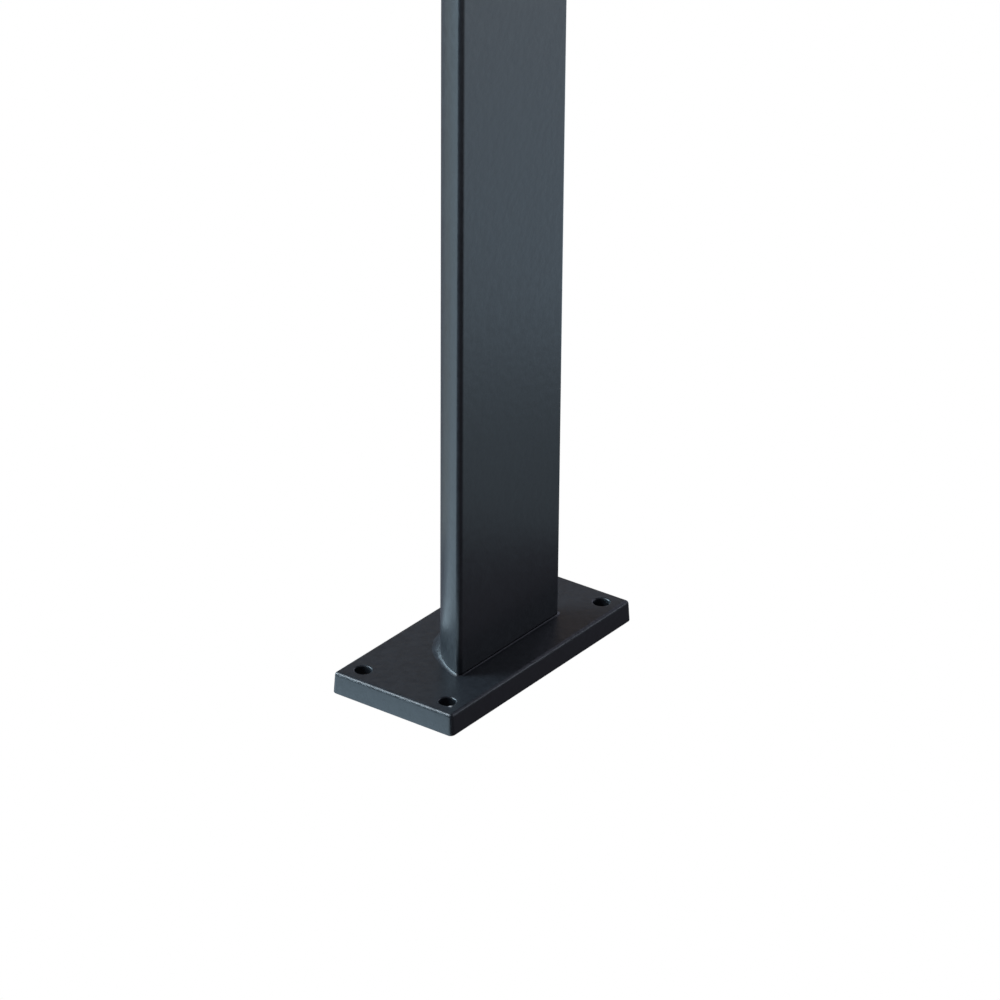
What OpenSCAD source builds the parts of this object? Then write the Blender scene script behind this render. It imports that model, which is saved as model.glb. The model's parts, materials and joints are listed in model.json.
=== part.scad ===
// Stanchion base: a D-section aluminium post welded upright on a drafted base plate,
// closed at the top by a screwed cap.
// X runs along the plate, Y across it (the post's flat face looks to -Y) and Z is up.
// The origin is the centre of the plate's underside.

/* [Base plate] */
// Length of the plate's underside
plate_l = 204; // [180:1:240]
// Width of the plate's underside
plate_w = 100; // [92:1:130]
// Thickness of the plate
plate_t = 15.5; // [12:0.5:20]
// How far each side leans in over the plate's thickness
plate_draft = 0.9; // [0:0.1:1.5]
// Radius of the rounded top edges and corners
plate_edge_r = 2.4; // [1:0.1:3]
// Height of the small chamfer under the plate's sides
plate_foot_chamfer = 0.6; // [0.3:0.1:1]

/* [Anchor holes] */
// Diameter of the four anchor holes
hole_d = 12; // [9:0.5:13]
// Distance from each hole's centre to the plate's nearest sides
hole_inset = 15; // [13:0.5:18]
// Width of the broken edge around each hole
hole_break = 0.5; // [0.3:0.1:1]

/* [Post] */
// Height of the whole stanchion above its underside
total_h = 610; // [520:10:1200]
// Width of the post's flat face, corner to corner
post_w = 112; // [105:1:115]
// Depth of the post from the flat face to the crown of the back
post_d = 44; // [42:1:46]
// Radius of the two long front corners
post_corner_r = 3; // [2.5:0.1:4]
// Wall thickness of the extrusion
post_wall = 3; // [2.5:0.1:3.5]
// Thickness of the two inner webs
web_t = 2.5; // [2:0.1:3]
// Distance from the post's middle to each web
web_x = 28; // [24:1:32]

/* [Screw ports] */
// Outer diameter of the screw port in each web
port_d = 9; // [8:0.5:10]
// Bore of each screw port
port_bore_d = 4.3; // [4.3:0.1:4.6]

/* [Welds] */
// Leg of the fillet weld round the curved back
weld_back_leg = 6; // [3:0.5:7]
// Leg of the fine weld along the flat front and round its corners, and of the bevel it fills
weld_front_leg = 1.5; // [1:0.1:2]

/* [Cap] */
// Thickness of the cap plate
cap_t = 4; // [3.5:0.5:5]
// Radius of the cap's rounded top edge
cap_edge_r = 1.2; // [0.6:0.1:1.6]
// Depth of the locating skirt inside the post
skirt_h = 8; // [6:1:12]
// Wall thickness of the locating skirt
skirt_t = 2; // [1.5:0.1:2.5]
// Gap between the skirt and the post's inner faces
skirt_gap = 0.4; // [0.3:0.1:0.6]

/* [Cap screws] */
// Diameter of the screw shank
screw_d = 4.2; // [4:0.1:4.2]
// Diameter of the countersunk head
screw_head_d = 9.2; // [8.5:0.1:9.5]
// Height of the countersunk head
screw_head_h = 2.5; // [2.2:0.1:2.8]
// Length of the screw from the top of its head
screw_l = 20; // [14:1:30]
// Width across flats of the hexagonal socket
socket_af = 3; // [2.5:0.1:3]
// Depth of the hexagonal socket
socket_depth = 1.6; // [1.2:0.1:1.8]

/* [Hidden] */
$fn = 96;
// Overlap that keeps cut surfaces from coinciding
eps = 0.02;
coat = [0.25, 0.28, 0.31];
weld_coat = [0.30, 0.33, 0.36];
screw_steel = [0.62, 0.63, 0.64];

// The section's outline is a flat front, two small corner arcs and one large back arc.
// Its own origin is the middle of the flat face, with +Y towards the back.
corner_x = post_w / 2 - post_corner_r;
arc_rise = post_d - 2 * post_corner_r;
arc_r = (corner_x * corner_x + arc_rise * arc_rise) / (2 * arc_rise) + post_corner_r;
arc_y = post_d - arc_r;
// Angle above the X axis at which the back arc meets the corner arcs
arc_start = atan2(post_corner_r - arc_y, corner_x);

front_y = -post_d / 2;
cap_z = total_h - cap_t;
foot_r = plate_edge_r + plate_draft;
// Inner corner radius of the extrusion
inner_corner_r = 1;
// The ports sit halfway between the inner faces, in line with the webs
web_back_y = arc_y + sqrt(pow(arc_r - post_wall, 2) - web_x * web_x);
port_y = (post_wall + web_back_y) / 2;

// Half width at the corner arcs' centres of an outline set in from the section by some wall
function corner_centre_x(wall, corner_r) =
    sqrt(pow(arc_r - wall - corner_r, 2) - pow(wall + corner_r - arc_y, 2));

// How far a rounded edge of radius r is set in, and how far it stays below the top, at angle a
function edge_inset(r, a) = r * (1 - cos(a));
function edge_drop(r, a) = r * (1 - sin(a));

// D outline set in by wall from the outer section, with corners of the given radius
module d_outline(wall, corner_r) {
    cx = corner_centre_x(wall, corner_r);
    cy = wall + corner_r;
    reach = 2 * arc_r;
    side_x = reach * cx / (cy - arc_y);
    intersection() {
        translate([0, arc_y]) circle(r = arc_r - wall);
        polygon([[-cx, cy], [cx, cy], [cx + side_x, cy + reach], [-cx - side_x, cy + reach]]);
    }
    translate([-cx, wall]) square([2 * cx, corner_r + eps]);
    for (side = [-1, 1])
        translate([side * cx, cy]) circle(r = corner_r);
}

// Places its children at the middle of the post's flat face, at height z
module at_front(z = 0) {
    translate([0, front_y, z]) children();
}

// Places its children at both screw ports
module at_ports() {
    for (side = [-1, 1])
        translate([side * web_x, port_y]) children();
}

// Places its children at the four points that are inset from the corners of the underside
module at_plate_corners(inset) {
    for (side_x = [-1, 1], side_y = [-1, 1])
        translate([side_x * (plate_l / 2 - inset), side_y * (plate_w / 2 - inset), 0])
            children();
}

// Radial profile of one plate corner: foot chamfer, drafted side and rounded top edge
module plate_corner_profile() {
    rounded_edge = [
        for (a = [0:15:90])
            [plate_edge_r - edge_inset(plate_edge_r, a), plate_t - edge_drop(plate_edge_r, a)]
    ];
    polygon(concat(
        [[0, 0], [foot_r - plate_foot_chamfer, 0], [foot_r, plate_foot_chamfer]],
        rounded_edge
    ));
}

module base_plate() {
    color(coat) difference() {
        hull() at_plate_corners(foot_r) rotate_extrude($fn = 32) plate_corner_profile();
        at_plate_corners(hole_inset) anchor_hole();
    }
}

// Through hole with a broken edge at the top
module anchor_hole() {
    translate([0, 0, -eps]) cylinder(d = hole_d, h = plate_t + 2 * eps);
    translate([0, 0, plate_t - hole_break])
        cylinder(d1 = hole_d, d2 = hole_d + 2 * (hole_break + eps), h = hole_break + eps);
}

// Strips of the given width along both webs, deeper than the section
module web_strips(width) {
    for (side = [-1, 1])
        translate([side * web_x - width / 2, 0]) square([width, post_d]);
}

// Section of the extrusion: outer wall, two webs and a screw port in each web
module post_section() {
    difference() {
        union() {
            difference() {
                d_outline(0, post_corner_r);
                d_outline(post_wall, inner_corner_r);
            }
            intersection() {
                d_outline(post_wall / 2, inner_corner_r);
                web_strips(web_t);
            }
            at_ports() circle(d = port_d);
        }
        at_ports() circle(d = port_bore_d);
    }
}

// Sweeps a section along the flat front and round both front corners
module along_front() {
    corner_sweep = 90 + arc_start;
    translate([-corner_x, 0, 0])
        rotate([90, 0, 90]) linear_extrude(height = 2 * corner_x)
            mirror([1, 0]) children();
    for (side = [0, 1])
        mirror([side, 0, 0]) translate([corner_x, post_corner_r, 0])
            rotate([0, 0, -90]) rotate_extrude(angle = corner_sweep)
                translate([post_corner_r, 0]) children();
}

// The extrusion, with its foot bevelled under the front weld
module post_profile() {
    leg = weld_front_leg;
    color(coat) at_front(plate_t) difference() {
        linear_extrude(height = cap_z - plate_t, convexity = 6) post_section();
        along_front() polygon([[-leg - eps, -eps], [eps, -eps], [eps, leg + eps]]);
    }
}

// Cross-section of a fillet weld with blunt toes, in the corner at its own origin.
// Its root is how far it reaches into a bevel under the wall.
module weld_section(leg, root) {
    toe = leg / 8;
    polygon([[-root, 0], [leg, 0], [leg, toe], [toe, leg], [0, leg]]);
}

module weld_back() {
    color(weld_coat) at_front(plate_t) translate([0, arc_y, 0])
        rotate([0, 0, arc_start])
            rotate_extrude(angle = 180 - 2 * arc_start)
                translate([arc_r, 0]) weld_section(weld_back_leg, 0);
}

module weld_front() {
    color(weld_coat) at_front(plate_t)
        along_front() weld_section(weld_front_leg, weld_front_leg);
}

// Solid outline of the cap's skirt, cut away around the webs and the ports
module skirt_outline(wall) {
    clear = wall - post_wall;
    difference() {
        d_outline(wall, inner_corner_r);
        web_strips(web_t + 2 * clear);
        at_ports() circle(d = port_d + 2 * clear);
    }
}

// Cap plate with a rounded top edge
module cap_plate() {
    hull()
        for (a = [0:30:90])
            linear_extrude(height = cap_t - edge_drop(cap_edge_r, a))
                let (inset = edge_inset(cap_edge_r, a))
                    d_outline(inset, post_corner_r - inset, $fn = 64);
}

module end_cap() {
    color(coat) at_front(cap_z) difference() {
        union() {
            cap_plate();
            translate([0, 0, -skirt_h]) linear_extrude(height = skirt_h + eps)
                difference() {
                    skirt_outline(post_wall + skirt_gap);
                    skirt_outline(post_wall + skirt_gap + skirt_t);
                }
        }
        at_ports() screw_seat();
    }
}

// Clearance hole and countersink for one cap screw
module screw_seat() {
    clear = 0.1;
    translate([0, 0, -eps]) cylinder(d = screw_d + 2 * clear, h = cap_t + 2 * eps);
    translate([0, 0, cap_t - screw_head_h - clear])
        cylinder(d1 = screw_d, d2 = screw_head_d + 2 * clear, h = screw_head_h + clear + eps);
}

module cap_screws() {
    color(screw_steel) at_front(total_h) at_ports() cap_screw();
}

// Countersunk screw with its head's top at its own origin, pointing down
module cap_screw() {
    difference() {
        union() {
            translate([0, 0, -screw_head_h])
                cylinder(d1 = screw_d, d2 = screw_head_d, h = screw_head_h);
            translate([0, 0, -screw_l]) cylinder(d = screw_d, h = screw_l - screw_head_h + eps);
        }
        translate([0, 0, -socket_depth])
            cylinder(d = socket_af / cos(30), h = socket_depth + eps, $fn = 6);
    }
}

base_plate();
post_profile();
weld_back();
weld_front();
end_cap();
cap_screws();
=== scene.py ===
import json
import math

import bmesh
import bpy
from mathutils import Matrix, Vector, noise


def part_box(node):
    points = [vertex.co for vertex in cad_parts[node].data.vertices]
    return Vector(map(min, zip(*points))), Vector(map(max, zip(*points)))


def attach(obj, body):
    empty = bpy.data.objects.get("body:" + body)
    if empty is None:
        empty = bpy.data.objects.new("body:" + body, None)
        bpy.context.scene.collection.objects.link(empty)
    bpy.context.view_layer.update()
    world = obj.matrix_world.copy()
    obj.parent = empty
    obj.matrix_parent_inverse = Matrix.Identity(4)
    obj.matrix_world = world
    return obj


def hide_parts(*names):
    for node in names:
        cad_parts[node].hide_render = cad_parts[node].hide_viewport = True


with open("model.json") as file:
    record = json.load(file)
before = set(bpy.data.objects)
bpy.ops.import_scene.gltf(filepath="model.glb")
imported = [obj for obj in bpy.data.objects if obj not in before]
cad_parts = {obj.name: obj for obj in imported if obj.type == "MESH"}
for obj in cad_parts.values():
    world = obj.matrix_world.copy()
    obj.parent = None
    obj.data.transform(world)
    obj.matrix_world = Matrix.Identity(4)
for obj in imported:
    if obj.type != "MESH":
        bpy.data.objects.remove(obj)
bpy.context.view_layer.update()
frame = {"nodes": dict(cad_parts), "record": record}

MM = 0.001
BODY = "root"

# --- Places and sizes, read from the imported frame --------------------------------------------

plate_lo, plate_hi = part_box("base_plate")
post_lo, post_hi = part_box("post_profile")
cap_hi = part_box("end_cap")[1]
screws_lo, screws_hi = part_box("cap_screws")
mounts = {m["name"]: m for m in frame["record"]["mounts"]}
anchor = mounts["anchor_holes"]["dims"]

# The plate, as the CAD has it, but with finer edges and with the coat in its holes
PLATE_DRAFT = 0.9 * MM
PLATE_EDGE_R = 2.6 * MM
PLATE_FOOT_R = 0.6 * MM
HOLE_EDGE_R = 1.1 * MM
COAT_IN_HOLE = 0.3 * MM
POST_CORNER_R = 3.0 * MM
WELD_ROOT = 0.4 * MM

plate_top = plate_hi.z
hole_r = anchor["hole_r_mm"] * MM
hole_x = anchor["spacing_x_mm"] * MM / 2
hole_y = anchor["spacing_y_mm"] * MM / 2

# The post's D outline: a flat front, two corner arcs and one large back arc
corner_x = post_hi.x - POST_CORNER_R
corner_y = post_lo.y + POST_CORNER_R
arc_rise = post_hi.y - post_lo.y - 2 * POST_CORNER_R
arc_r = (corner_x**2 + arc_rise**2) / (2 * arc_rise) + POST_CORNER_R
arc_y = post_hi.y - arc_r
arc_start = math.atan2(corner_y - arc_y, corner_x)

# The cap screws; the CAD node's box gives their places
SCREW_HEAD_R = 4.6 * MM
SCREW_R = 2.1 * MM
SCREW_HEAD_H = 2.5 * MM
SOCKET_AF = 3.0 * MM
SOCKET_DEPTH = 1.6 * MM
screw_x = screws_hi.x - SCREW_HEAD_R
screw_y = (screws_lo.y + screws_hi.y) / 2
cap_bottom = post_hi.z


# --- Mesh helpers ----------------------------------------------------------------------------

def arc(cx, cy, radius, start, end, steps):
    """Points on an arc, both ends included."""
    angles = [start + (end - start) * i / steps for i in range(steps + 1)]
    return [(cx + radius * math.cos(a), cy + radius * math.sin(a)) for a in angles]


def circle(cx, cy, radius, steps=64):
    return arc(cx, cy, radius, 0, 2 * math.pi, steps)[:-1]


def rounded_rectangle(half_x, half_y, radius, steps=10):
    points = []
    for i, (sx, sy) in enumerate([(1, 1), (-1, 1), (-1, -1), (1, -1)]):
        start = i * math.pi / 2
        cx, cy = sx * (half_x - radius), sy * (half_y - radius)
        points += arc(cx, cy, radius, start, start + math.pi / 2, steps)
    return points


def post_outline(offset):
    """The post's D outline moved outwards by offset, anticlockwise from its front right corner."""
    corner_r = POST_CORNER_R + offset
    right = arc(corner_x, corner_y, corner_r, -math.pi / 2, arc_start, 12)
    back = arc(0, arc_y, arc_r + offset, arc_start, math.pi - arc_start, 120)
    left = arc(-corner_x, corner_y, corner_r, math.pi - arc_start, 1.5 * math.pi, 12)
    return right + back[1:-1] + left


def ring(bm, points, z):
    return [bm.verts.new((x, y, z)) for x, y in points]


def loft(bm, rings):
    """Quads between closed rings of equal length."""
    for below, above in zip(rings, rings[1:]):
        count = len(below)
        for i in range(count):
            j = (i + 1) % count
            bm.faces.new((below[i], below[j], above[j], above[i]))


def fill(bm, *rings):
    """Fills the flat area inside the first ring and outside the others."""
    edges = []
    for verts in rings:
        for a, b in zip(verts, verts[1:] + verts[:1]):
            edges.append(bm.edges.get((a, b)) or bm.edges.new((a, b)))
    bmesh.ops.triangle_fill(bm, use_beauty=True, edges=edges)


def quarter(steps):
    """Angles from 0 to 90 degrees."""
    return [math.pi / 2 * i / steps for i in range(steps + 1)]


def make_piece(bm, name, material, replaced, sharp_angle=35):
    """Turns the finished mesh into a piece that rides on the part and stands for its CAD node."""
    bmesh.ops.recalc_face_normals(bm, faces=bm.faces)
    for face in bm.faces:
        face.smooth = True
    for edge in bm.edges:
        if len(edge.link_faces) == 2 and edge.calc_face_angle() > math.radians(sharp_angle):
            edge.smooth = False
    mesh = bpy.data.meshes.new(name)
    bm.to_mesh(mesh)
    bm.free()
    mesh.materials.append(material)
    piece = bpy.data.objects.new(name, mesh)
    bpy.context.scene.collection.objects.link(piece)
    weighted = piece.modifiers.new("flat_faces_stay_flat", "WEIGHTED_NORMAL")
    weighted.keep_sharp = True
    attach(piece, BODY)
    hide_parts(replaced)
    return piece


# --- Pieces ----------------------------------------------------------------------------------

def plate_rings(bm):
    """Outer skin of the plate, from the underside's edge to the top face's edge."""
    half_x, half_y = plate_hi.x, plate_hi.y
    side_r = PLATE_EDGE_R + PLATE_DRAFT
    levels = []
    for a in quarter(4):
        levels.append((PLATE_FOOT_R * (1 - math.sin(a)), PLATE_FOOT_R * (1 - math.cos(a))))
    for a in quarter(12):
        inset = PLATE_DRAFT + PLATE_EDGE_R * (1 - math.cos(a))
        levels.append((inset, plate_top - PLATE_EDGE_R * (1 - math.sin(a))))
    least_r = 0.05 * MM
    return [
        ring(bm, rounded_rectangle(half_x - inset, half_y - inset, max(side_r - inset, least_r)), z)
        for inset, z in levels
    ]


def hole_rings(bm, cx, cy):
    """Wall of one anchor hole, with a rounded edge at both ends."""
    bore_r = hole_r - COAT_IN_HOLE
    levels = [(bore_r + HOLE_EDGE_R * (1 - math.sin(a)), HOLE_EDGE_R * (1 - math.cos(a)))
              for a in quarter(8)]
    top = [(r, plate_top - d) for r, d in levels]
    middle = [(bore_r, plate_top * k) for k in (0.75, 0.5, 0.25)]
    bottom = [(r, d) for r, d in reversed(levels)]
    return [ring(bm, circle(cx, cy, r), z) for r, z in top + middle + bottom]


def make_plate(material):
    bm = bmesh.new()
    skin = plate_rings(bm)
    holes = [hole_rings(bm, sx * hole_x, sy * hole_y) for sx in (-1, 1) for sy in (-1, 1)]
    loft(bm, skin)
    for rings in holes:
        loft(bm, rings)
    fill(bm, skin[-1], *[rings[0] for rings in holes])
    fill(bm, skin[0], *[rings[-1] for rings in holes])
    return make_piece(bm, "foot_plate", material, "base_plate")


def make_cap(material):
    """Closing cap with a rounded top edge, a fine joint line below and two countersinks."""
    edge_r = 1.2 * MM
    joint = 0.3 * MM
    head_gap = 0.1 * MM
    bm = bmesh.new()
    levels = [(-joint, cap_bottom), (0, cap_bottom + joint)]
    levels += [(edge_r * (math.cos(a) - 1), cap_hi.z - edge_r * (1 - math.sin(a)))
               for a in quarter(6)]
    skin = [ring(bm, post_outline(offset), z) for offset, z in levels]
    loft(bm, skin)
    seat_levels = [
        (SCREW_HEAD_R + head_gap, cap_hi.z),
        (SCREW_R + head_gap, cap_hi.z - SCREW_HEAD_H),
        (SCREW_R + head_gap, cap_bottom),
    ]
    seats = []
    for side in (-1, 1):
        seats.append([ring(bm, circle(side * screw_x, screw_y, r), z) for r, z in seat_levels])
        loft(bm, seats[-1])
    fill(bm, skin[-1], *[seat[0] for seat in seats])
    fill(bm, skin[0], *[seat[-1] for seat in seats])
    return make_piece(bm, "top_cap", material, "end_cap")


def hexagon(cx, cy, across_flats, steps=48):
    """Points on a hexagon, as many as a circle would have."""
    points = []
    for i in range(steps):
        a = 2 * math.pi * i / steps
        to_flat = (a + math.pi / 6) % (math.pi / 3) - math.pi / 6
        r = across_flats / 2 / math.cos(to_flat)
        points.append((cx + r * math.cos(a), cy + r * math.sin(a)))
    return points


def make_screw(name, side, material):
    """Countersunk hex socket screw, flush with the cap."""
    cx, cy, top = side * screw_x, screw_y, screws_hi.z
    steps = 48
    rim = 0.25 * MM
    lead = 0.15 * MM
    drill_r, drill_depth = 0.2 * MM, 0.3 * MM
    socket_corner_r = SOCKET_AF / 2 / math.cos(math.pi / 6)
    bm = bmesh.new()
    rings = [
        ring(bm, circle(cx, cy, drill_r, steps), top - SOCKET_DEPTH - drill_depth),
        ring(bm, hexagon(cx, cy, SOCKET_AF, steps), top - SOCKET_DEPTH),
        ring(bm, hexagon(cx, cy, SOCKET_AF, steps), top - lead),
        ring(bm, circle(cx, cy, socket_corner_r + lead, steps), top),
        ring(bm, circle(cx, cy, SCREW_HEAD_R - rim, steps), top),
        ring(bm, circle(cx, cy, SCREW_HEAD_R - rim * 0.3, steps), top - rim * 0.3),
        ring(bm, circle(cx, cy, SCREW_HEAD_R, steps), top - rim),
        ring(bm, circle(cx, cy, SCREW_R, steps), top - SCREW_HEAD_H),
        ring(bm, circle(cx, cy, SCREW_R, steps), screws_lo.z + rim),
        ring(bm, circle(cx, cy, SCREW_R - rim, steps), screws_lo.z),
    ]
    loft(bm, rings)
    fill(bm, rings[0])
    fill(bm, rings[-1])
    return make_piece(bm, name, material, "cap_screws")


def along_arc(cx, cy, radius, start, end, spacing):
    """Stations on an arc: the point on the post's wall and the outward direction there."""
    steps = max(2, round(abs(end - start) * radius / spacing))
    stations = []
    for i in range(steps + 1):
        a = start + (end - start) * i / steps
        out = Vector((math.cos(a), math.sin(a), 0))
        stations.append((Vector((cx, cy, plate_top)) + out * radius, out))
    return stations


def along_front(spacing):
    """Stations along the flat front, without its ends."""
    steps = round(2 * corner_x / spacing)
    out = Vector((0, -1, 0))
    return [(Vector((corner_x * (2 * i / steps - 1), post_lo.y, plate_top)), out)
            for i in range(1, steps)]


def smooth_step(x):
    x = min(1, max(0, x))
    return x * x * (3 - 2 * x)


def make_bead(name, stations, leg_of, pitch, ripple, material, replaced):
    """Fillet weld along the stations: a hollow face with crescent ripples and uneven toes.
    leg_of gives a bead's reach across the plate at a point, and its height as a share of it."""
    across = 8
    hollow = 0.13
    sag = 0.7
    wander = 0.07
    out_wave, out_seed = 5 * MM, 1.7
    up_wave, up_seed = 4 * MM, 8.3
    bm = bmesh.new()
    rings = []
    run = 0.0
    for i, (point, out) in enumerate(stations):
        if i:
            run += (point - stations[i - 1][0]).length
        leg, steepness = leg_of(point)
        out_noise = noise.noise(Vector((run / out_wave, out_seed, 0)))
        up_noise = noise.noise(Vector((run / up_wave, up_seed, 0)))
        leg_out = leg * (1 + wander * out_noise)
        leg_up = steepness * leg * (1 + wander * up_noise)
        profile = [(-WELD_ROOT, -WELD_ROOT), (-WELD_ROOT, leg_up)]
        for k in range(across + 1):
            t = k / across
            middle = math.sin(math.pi * t)
            wave = math.cos(2 * math.pi * (run / pitch + 0.5 * middle))
            dip = hollow * leg * middle - ripple * (0.5 + 0.5 * wave) * middle
            profile.append((leg_out * t - sag * dip, leg_up * (1 - t) - sag * dip))
        profile.append((leg_out, -WELD_ROOT))
        rings.append([bm.verts.new(point + out * o + Vector((0, 0, z))) for o, z in profile])
    loft(bm, rings)
    bm.faces.new(rings[0])
    bm.faces.new(rings[-1])
    return make_piece(bm, name, material, replaced, sharp_angle=60)


def make_welds(material):
    """Back bead, thick behind the post and thin at its corners, and a fine, low front bead."""
    spacing = 0.35 * MM
    front_leg = 1.5 * MM
    corner_leg = 2.0 * MM
    back_leg = 6.0 * MM
    flat, steep = 0.4, 0.85
    grow_from = math.radians(30)
    grow_to = math.radians(62)

    def leg_at_back(point):
        a = math.asin(min(1, (point.y - arc_y) / arc_r))
        share = smooth_step((a - grow_from) / (grow_to - grow_from))
        return corner_leg + (back_leg - corner_leg) * share, steep

    def leg_at_front(point):
        share = smooth_step((point.y - post_lo.y) / POST_CORNER_R)
        return front_leg + (corner_leg - front_leg) * share, flat + (steep - flat) * share

    arc_end = math.pi - arc_start
    back = along_arc(0, arc_y, arc_r, arc_start, arc_end, spacing)
    left = along_arc(-corner_x, corner_y, POST_CORNER_R, arc_end, 1.5 * math.pi, spacing)
    right = along_arc(corner_x, corner_y, POST_CORNER_R, -math.pi / 2, arc_start, spacing)
    front = left + along_front(spacing) + right
    make_bead("back_weld_bead", back, leg_at_back, pitch=1.3 * MM, ripple=0.10 * MM,
              material=material, replaced="weld_back")
    make_bead("front_weld_bead", front, leg_at_front, pitch=0.9 * MM, ripple=0.04 * MM,
              material=material, replaced="weld_front")


# --- Materials -------------------------------------------------------------------------------

def add(tree, kind, inputs=None, **settings):
    """New shader node: inputs are numbers, colours or other nodes' outputs."""
    made = tree.nodes.new(kind)
    for key, value in settings.items():
        setattr(made, key, value)
    for key, value in (inputs or {}).items():
        if isinstance(value, bpy.types.NodeSocket):
            tree.links.new(value, made.inputs[key])
        else:
            made.inputs[key].default_value = value
    return made


def new_material(name):
    material = bpy.data.materials.new(name)
    material.use_nodes = True
    tree = material.node_tree
    tree.nodes.clear()
    return material, tree


def noise_at(tree, place, scale, detail=2.0, roughness=0.5):
    """Noise with scale features to the metre, so 1000 gives grains of about a millimetre."""
    node = add(tree, "ShaderNodeTexNoise",
               {"Vector": place, "Scale": scale, "Detail": detail, "Roughness": roughness})
    return node.outputs["Fac"]


def spread(tree, value, low, high, to_low, to_high):
    """Maps value from low..high to to_low..to_high, held at both ends."""
    node = add(tree, "ShaderNodeMapRange", {
        "Value": value, "From Min": low, "From Max": high, "To Min": to_low, "To Max": to_high})
    return node.outputs["Result"]


def blend(tree, share, first, second):
    """Colour between first and second; share is that of the second."""
    node = add(tree, "ShaderNodeMix", data_type="RGBA")
    for socket, value in (("Factor_Float", share), ("A_Color", first), ("B_Color", second)):
        target = next(s for s in node.inputs if s.identifier == socket)
        if isinstance(value, bpy.types.NodeSocket):
            tree.links.new(value, target)
        else:
            target.default_value = value
    return next(s for s in node.outputs if s.identifier == "Result_Color")


def bump(tree, height, distance, strength, under=None):
    """Normal bent by a height of up to distance, laid over the bump that is under it."""
    inputs = {"Height": height, "Distance": distance, "Strength": strength}
    if under is not None:
        inputs["Normal"] = under
    return add(tree, "ShaderNodeBump", inputs).outputs["Normal"]


# Diffuse colours; most of the coat's look is what its satin surface reflects
COAT = (0.010, 0.0125, 0.0155, 1)
COAT_DEEP = (0.008, 0.010, 0.0125, 1)
# The pale colour serves the coat's random mottle and also the painted highlight on the extrusion's
# face
COAT_PALE_AND_HIGHLIGHT = (0.018, 0.021, 0.025, 1)
COAT_ROUGHNESS = (0.29, 0.37)
PRIMER = (0.36, 0.34, 0.33, 1)
STEEL_DARK = (0.42, 0.42, 0.42, 1)
STEEL_LIGHT = (0.56, 0.56, 0.55, 1)

# Marks that run up the extrusion: fine streaks, and a painted highlight, a pale band between these
# places across it that stands in for a soft reflection on its face
STREAK_SQUEEZE = 0.015
HIGHLIGHT_BAND_RISE = (-48 * MM, -28 * MM)
HIGHLIGHT_BAND_FALL = (0, 22 * MM)
HIGHLIGHT_BAND_REMAINS = 0.3

# The chip is beside the front left hole
CHIP_FROM_HOLE = Vector((-4.4 * MM, -5.5 * MM, 0))
CHIP_INNER_R = 1.1 * MM
CHIP_OUTER_R = 1.5 * MM
CHIP_RAGGED = 0.5 * MM


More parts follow.
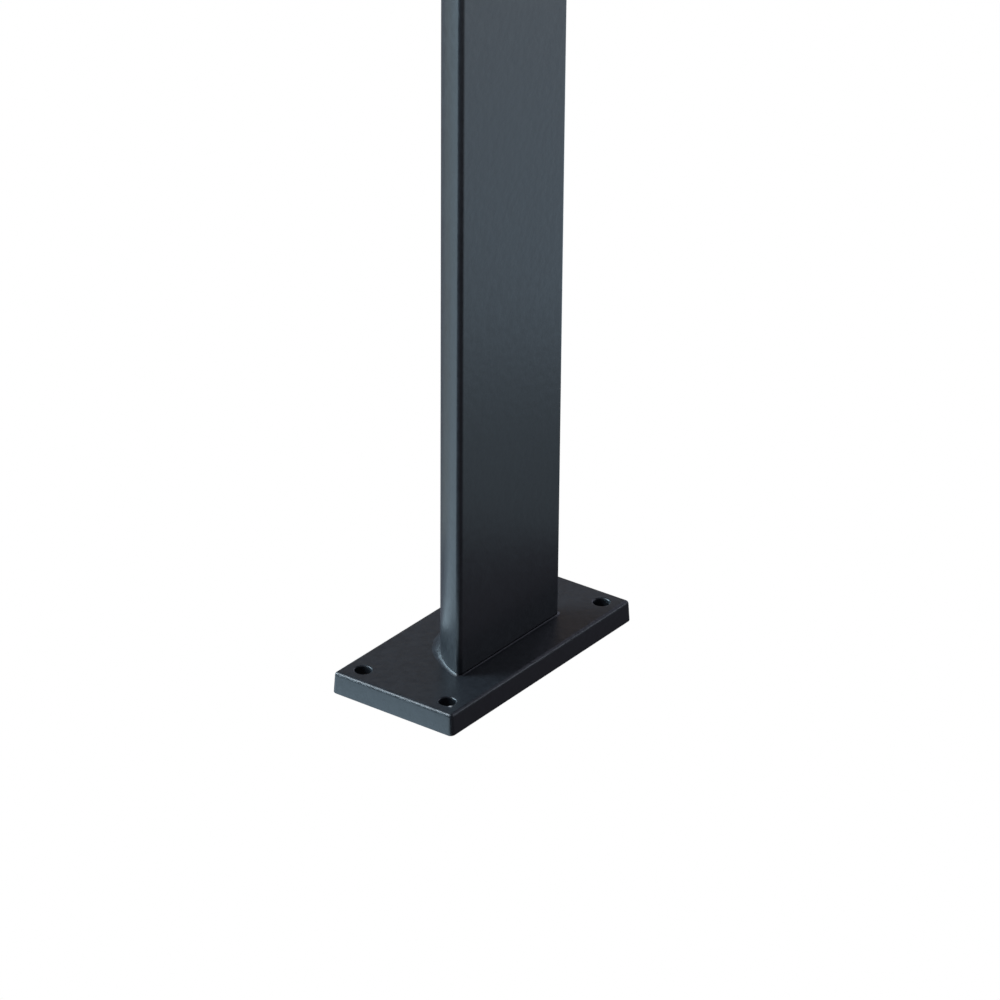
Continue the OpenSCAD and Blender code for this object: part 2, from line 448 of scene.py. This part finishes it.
def powder_coat(name, streaks_and_highlight=0.0, lumps=0.0, duller=0.0, chip=None):
    """Satin fine-texture powder coat. Streaks follow an extrusion upwards, beside a painted
    highlight on its face, a pale stripe in place of a soft reflection; lumps soften a weld; a chip
    is a spot where the coat is gone down to the primer."""
    material, tree = new_material(name)
    place = add(tree, "ShaderNodeTexCoord").outputs["Object"]
    cloud = noise_at(tree, place, 22, 4, 0.55)
    patch = noise_at(tree, place, 170, 3, 0.6)
    mottle = noise_at(tree, place, 560, 2, 0.6)
    grain = noise_at(tree, place, 1500, 2, 0.6)
    peel = noise_at(tree, place, 420, 1, 0.4)
    swell = noise_at(tree, place, 190, 0)
    colour = blend(tree, spread(tree, cloud, 0.35, 0.65, 0, 1), COAT_DEEP, COAT)
    colour = blend(tree, spread(tree, patch, 0.35, 0.7, 0, 0.8), colour, COAT_PALE_AND_HIGHLIGHT)
    colour = blend(tree, spread(tree, mottle, 0.35, 0.7, 0, 0.7), colour, COAT_PALE_AND_HIGHLIGHT)
    colour = blend(tree, spread(tree, grain, 0.55, 0.75, 0, 0.45), colour, COAT_PALE_AND_HIGHLIGHT)
    if streaks_and_highlight:
        stretched = add(tree, "ShaderNodeMapping",
                        {"Vector": place, "Scale": (1, 1, STREAK_SQUEEZE)})
        line = noise_at(tree, stretched.outputs["Vector"], 90, 3, 0.6)
        colour = blend(tree, spread(tree, line, 0.45, 0.7, 0, streaks_and_highlight), colour, COAT_PALE_AND_HIGHLIGHT)
        # Painted highlight: a pale stripe up the front face, lighter colour standing in for a soft
        # reflection
        across = add(tree, "ShaderNodeSeparateXYZ", {"Vector": place}).outputs["X"]
        highlight_band = add(tree, "ShaderNodeMath", {
            0: spread(tree, across, *HIGHLIGHT_BAND_RISE, 0, 1),
            1: spread(tree, across, *HIGHLIGHT_BAND_FALL, 1, HIGHLIGHT_BAND_REMAINS)},
            operation="MULTIPLY").outputs["Value"]
        colour = blend(tree, spread(tree, highlight_band, 0, 1, 0, streaks_and_highlight), colour, COAT_PALE_AND_HIGHLIGHT)
    if chip is not None:
        away = add(tree, "ShaderNodeVectorMath", {0: place, 1: chip}, operation="DISTANCE")
        ragged = add(tree, "ShaderNodeMath", {
            0: away.outputs["Value"],
            1: spread(tree, mottle, 0.3, 0.7, -CHIP_RAGGED, CHIP_RAGGED)},
            operation="ADD").outputs["Value"]
        bare = spread(tree, ragged, CHIP_INNER_R, CHIP_OUTER_R, 1, 0)
        colour = blend(tree, bare, colour, PRIMER)
    rough = spread(tree, patch, 0.3, 0.7, *[r + duller for r in COAT_ROUGHNESS])
    normal = bump(tree, swell, 0.20 * MM, 0.5)
    normal = bump(tree, peel, 0.09 * MM, 0.5, normal)
    normal = bump(tree, grain, 0.03 * MM, 0.6, normal)
    if lumps:
        normal = bump(tree, noise_at(tree, place, 260, 2, 0.5), lumps, 0.8, normal)
    shader = add(tree, "ShaderNodeBsdfPrincipled", {
        "Base Color": colour, "Roughness": rough, "Normal": normal,
        "Metallic": 0.0, "IOR": 1.5, "Specular IOR Level": 0.5})
    add(tree, "ShaderNodeOutputMaterial", {"Surface": shader.outputs["BSDF"]})
    return material


def screw_steel():
    """Plain stainless steel, finely uneven."""
    material, tree = new_material("screw_steel_fine")
    place = add(tree, "ShaderNodeTexCoord").outputs["Object"]
    fine = noise_at(tree, place, 2600, 3, 0.6)
    cloud = noise_at(tree, place, 500, 2, 0.5)
    colour = blend(tree, spread(tree, cloud, 0.3, 0.7, 0, 1), STEEL_DARK, STEEL_LIGHT)
    shader = add(tree, "ShaderNodeBsdfPrincipled", {
        "Base Color": colour, "Roughness": spread(tree, fine, 0.3, 0.7, 0.25, 0.45),
        "Normal": bump(tree, fine, 0.01 * MM, 0.5), "Metallic": 1.0})
    add(tree, "ShaderNodeOutputMaterial", {"Surface": shader.outputs["BSDF"]})
    return material


# --- Studio ----------------------------------------------------------------------------------

GLOW_BELOW = 0.1 * MM
FLOOR_BELOW = 0.2 * MM
LIGHTS_AIM = Vector((0, 0, 0.25))
WHITE = (1, 1, 1, 1)
BLUE_WHITE = (0.64, 0.86, 1)
AIR_COLOUR = (0.86, 0.83, 1, 1)
AIR_STRENGTH = 0.146

def glow(name, colour, strength):
    """Material that only gives off light."""
    material, tree = new_material(name)
    light = add(tree, "ShaderNodeEmission", {"Color": colour, "Strength": strength})
    add(tree, "ShaderNodeOutputMaterial", {"Surface": light.outputs["Emission"]})
    return material


def stage_piece(name, build, material, seen_by_camera):
    """Floor or backdrop, seen either by the camera alone or by light alone."""
    bm = bmesh.new()
    build(bm)
    mesh = bpy.data.meshes.new(name)
    bm.to_mesh(mesh)
    bm.free()
    mesh.materials.append(material)
    made = bpy.data.objects.new(name, mesh)
    bpy.context.scene.collection.objects.link(made)
    made.visible_camera = seen_by_camera
    made.visible_diffuse = not seen_by_camera
    made.visible_glossy = not seen_by_camera
    made.visible_shadow = not seen_by_camera
    made.visible_transmission = not seen_by_camera
    return made


def soft_light(name, direction, distance, width, height, watts, colour):
    """Rectangular softbox, in metres, that looks at the middle of what the camera sees."""
    data = bpy.data.lights.new(name, "AREA")
    data.shape = "RECTANGLE"
    data.size, data.size_y = width, height
    data.energy = watts
    data.color = colour
    lamp = bpy.data.objects.new(name, data)
    bpy.context.scene.collection.objects.link(lamp)
    away = Vector(direction).normalized()
    lamp.location = LIGHTS_AIM + away * distance
    lamp.rotation_euler = away.to_track_quat("Z", "Y").to_euler()
    lamp.visible_camera = False
    return lamp


def sector(start, end, near, far):
    """Outline of part of the table top, between two directions in degrees and two distances."""
    outer = arc(0, 0, far, math.radians(start), math.radians(end), 12)
    if not near:
        return outer + [(0, 0)]
    return outer + arc(0, 0, near, math.radians(end), math.radians(start), 12)


def table_glow(name, outline, colour):
    """Part of the table that is lit from outside the picture and lights the object from below."""
    def shape(bm):
        bm.faces.new(ring(bm, outline, plate_lo.z - GLOW_BELOW))

    stage_piece(name, shape, glow(name + "_light", (*colour, 1), 1.0), False)


def make_studio():
    """White floor and backdrop for the camera; a glowing table, softboxes and air for light."""
    floor_z = plate_lo.z - FLOOR_BELOW
    reach = 30

    def flat(bm):
        corners = [(-reach, -reach), (reach, -reach), (reach, reach), (-reach, reach)]
        bm.faces.new(ring(bm, corners, floor_z))

    def dome(bm):
        bmesh.ops.create_uvsphere(bm, u_segments=48, v_segments=24, radius=reach * 1.5)

    white = glow("paper_white", WHITE, 1.0)
    stage_piece("floor", flat, white, True)
    stage_piece("backdrop", dome, white, True)

    # The table glows behind the object, at its left end and to its right, and only far away on
    # the camera's side. Its brightness differs from part to part, as under a real softbox.
    left, front, back = plate_lo.x, plate_lo.y, 0.1
    beside_width = 0.06
    far_left = left - beside_width
    beside = [(far_left, front), (left, front), (left, back), (far_left, back)]
    table_glow("glow_beside", beside, (1.36, 1.80, 2.10))
    table_glow("glow_back_left", sector(100, 130, 0, 3), (0.97, 1.26, 1.46))
    table_glow("glow_back", sector(75, 100, 0.2, 3), (0.41, 0.46, 0.46))
    table_glow("glow_right_near", sector(-80, -20, 0.2, 0.5), (0.33, 0.41, 0.47))
    table_glow("glow_right", sector(-80, 30, 0.5, 1.2), (0.78, 1.00, 1.21))
    table_glow("glow_right_far", sector(-80, -20, 1.2, 6), (1.16, 1.33, 1.50))
    table_glow("glow_front_far", sector(200, 280, 1.7, 8), (0.85, 0.98, 1.10))

    soft_light("key", (-0.50, 0.53, 0.67), distance=2.0,
               width=0.6, height=0.9, watts=39, colour=(0.78, 0.9, 1))
    soft_light("back_left", (-0.3, 1, 0.25), distance=2.2,
               width=1.6, height=0.6, watts=25, colour=BLUE_WHITE)
    soft_light("low_back_left", (-0.55, 0.8, 0.15), distance=2.0,
               width=0.8, height=0.4, watts=38, colour=BLUE_WHITE)
    soft_light("behind", (0.72, 0.60, 0.15), distance=2.0,
               width=1.0, height=0.5, watts=0.6, colour=(1, 0.8, 0.5))
    soft_light("right", (1, 0, 0.3), distance=1.6,
               width=1.2, height=1.0, watts=4.2, colour=(0.74, 0.78, 1))
    soft_light("edge", (0.72, -0.64, 0.26), distance=2.0,
               width=0.6, height=0.6, watts=4.0, colour=(0.76, 0.85, 1))

    world = bpy.data.worlds.new("studio_air")
    world.use_nodes = True
    air = world.node_tree.nodes["Background"]
    air.inputs["Color"].default_value = AIR_COLOUR
    air.inputs["Strength"].default_value = AIR_STRENGTH
    bpy.context.scene.world = world
    bpy.context.scene.view_settings.view_transform = "Standard"


# --- Camera ----------------------------------------------------------------------------------

def make_camera():
    """Looks down at the plate from its front left, with the post running out of the picture."""
    yaw, pitch, roll = math.radians(36.34), math.radians(26.70), math.radians(0.46)
    distance = 3.027
    aim_right, aim_up = 10.0 * MM, 91.1 * MM
    level = math.cos(pitch)
    ahead = Vector((math.cos(yaw) * level, math.sin(yaw) * level, -math.sin(pitch)))
    right = Vector((math.sin(yaw), -math.cos(yaw), 0))
    up = right.cross(ahead)
    aim = Vector((0, 0, plate_top)) + right * aim_right + up * aim_up
    turned_right = right * math.cos(roll) + up * math.sin(roll)
    turned_up = up * math.cos(roll) - right * math.sin(roll)
    data = bpy.data.cameras.new("camera")
    data.sensor_width = 36
    data.lens = 162
    data.clip_start, data.clip_end = 0.1, 200
    camera = bpy.data.objects.new("camera", data)
    bpy.context.scene.collection.objects.link(camera)
    axes = Matrix((turned_right, turned_up, -ahead)).transposed()
    camera.matrix_world = Matrix.Translation(aim - ahead * distance) @ axes.to_4x4()
    bpy.context.scene.camera = camera


# --- The whole picture -----------------------------------------------------------------------

make_camera()
make_studio()
chip_place = Vector((-hole_x, -hole_y, plate_top)) + CHIP_FROM_HOLE
make_plate(powder_coat("powder_coat_plate", duller=0.04, chip=chip_place))
make_cap(powder_coat("powder_coat_cap", duller=0.04))
make_welds(powder_coat("powder_coat_weld", lumps=0.08 * MM, duller=0.06))
steel = screw_steel()
make_screw("cap_screw_left", -1, steel)
make_screw("cap_screw_right", 1, steel)
# The extrusion's coat gets its streaks and the painted highlight up its front face
for part_slot in frame["nodes"]["post_profile"].material_slots:
    part_slot.material = powder_coat("powder_coat_extrusion", streaks_and_highlight=0.5)
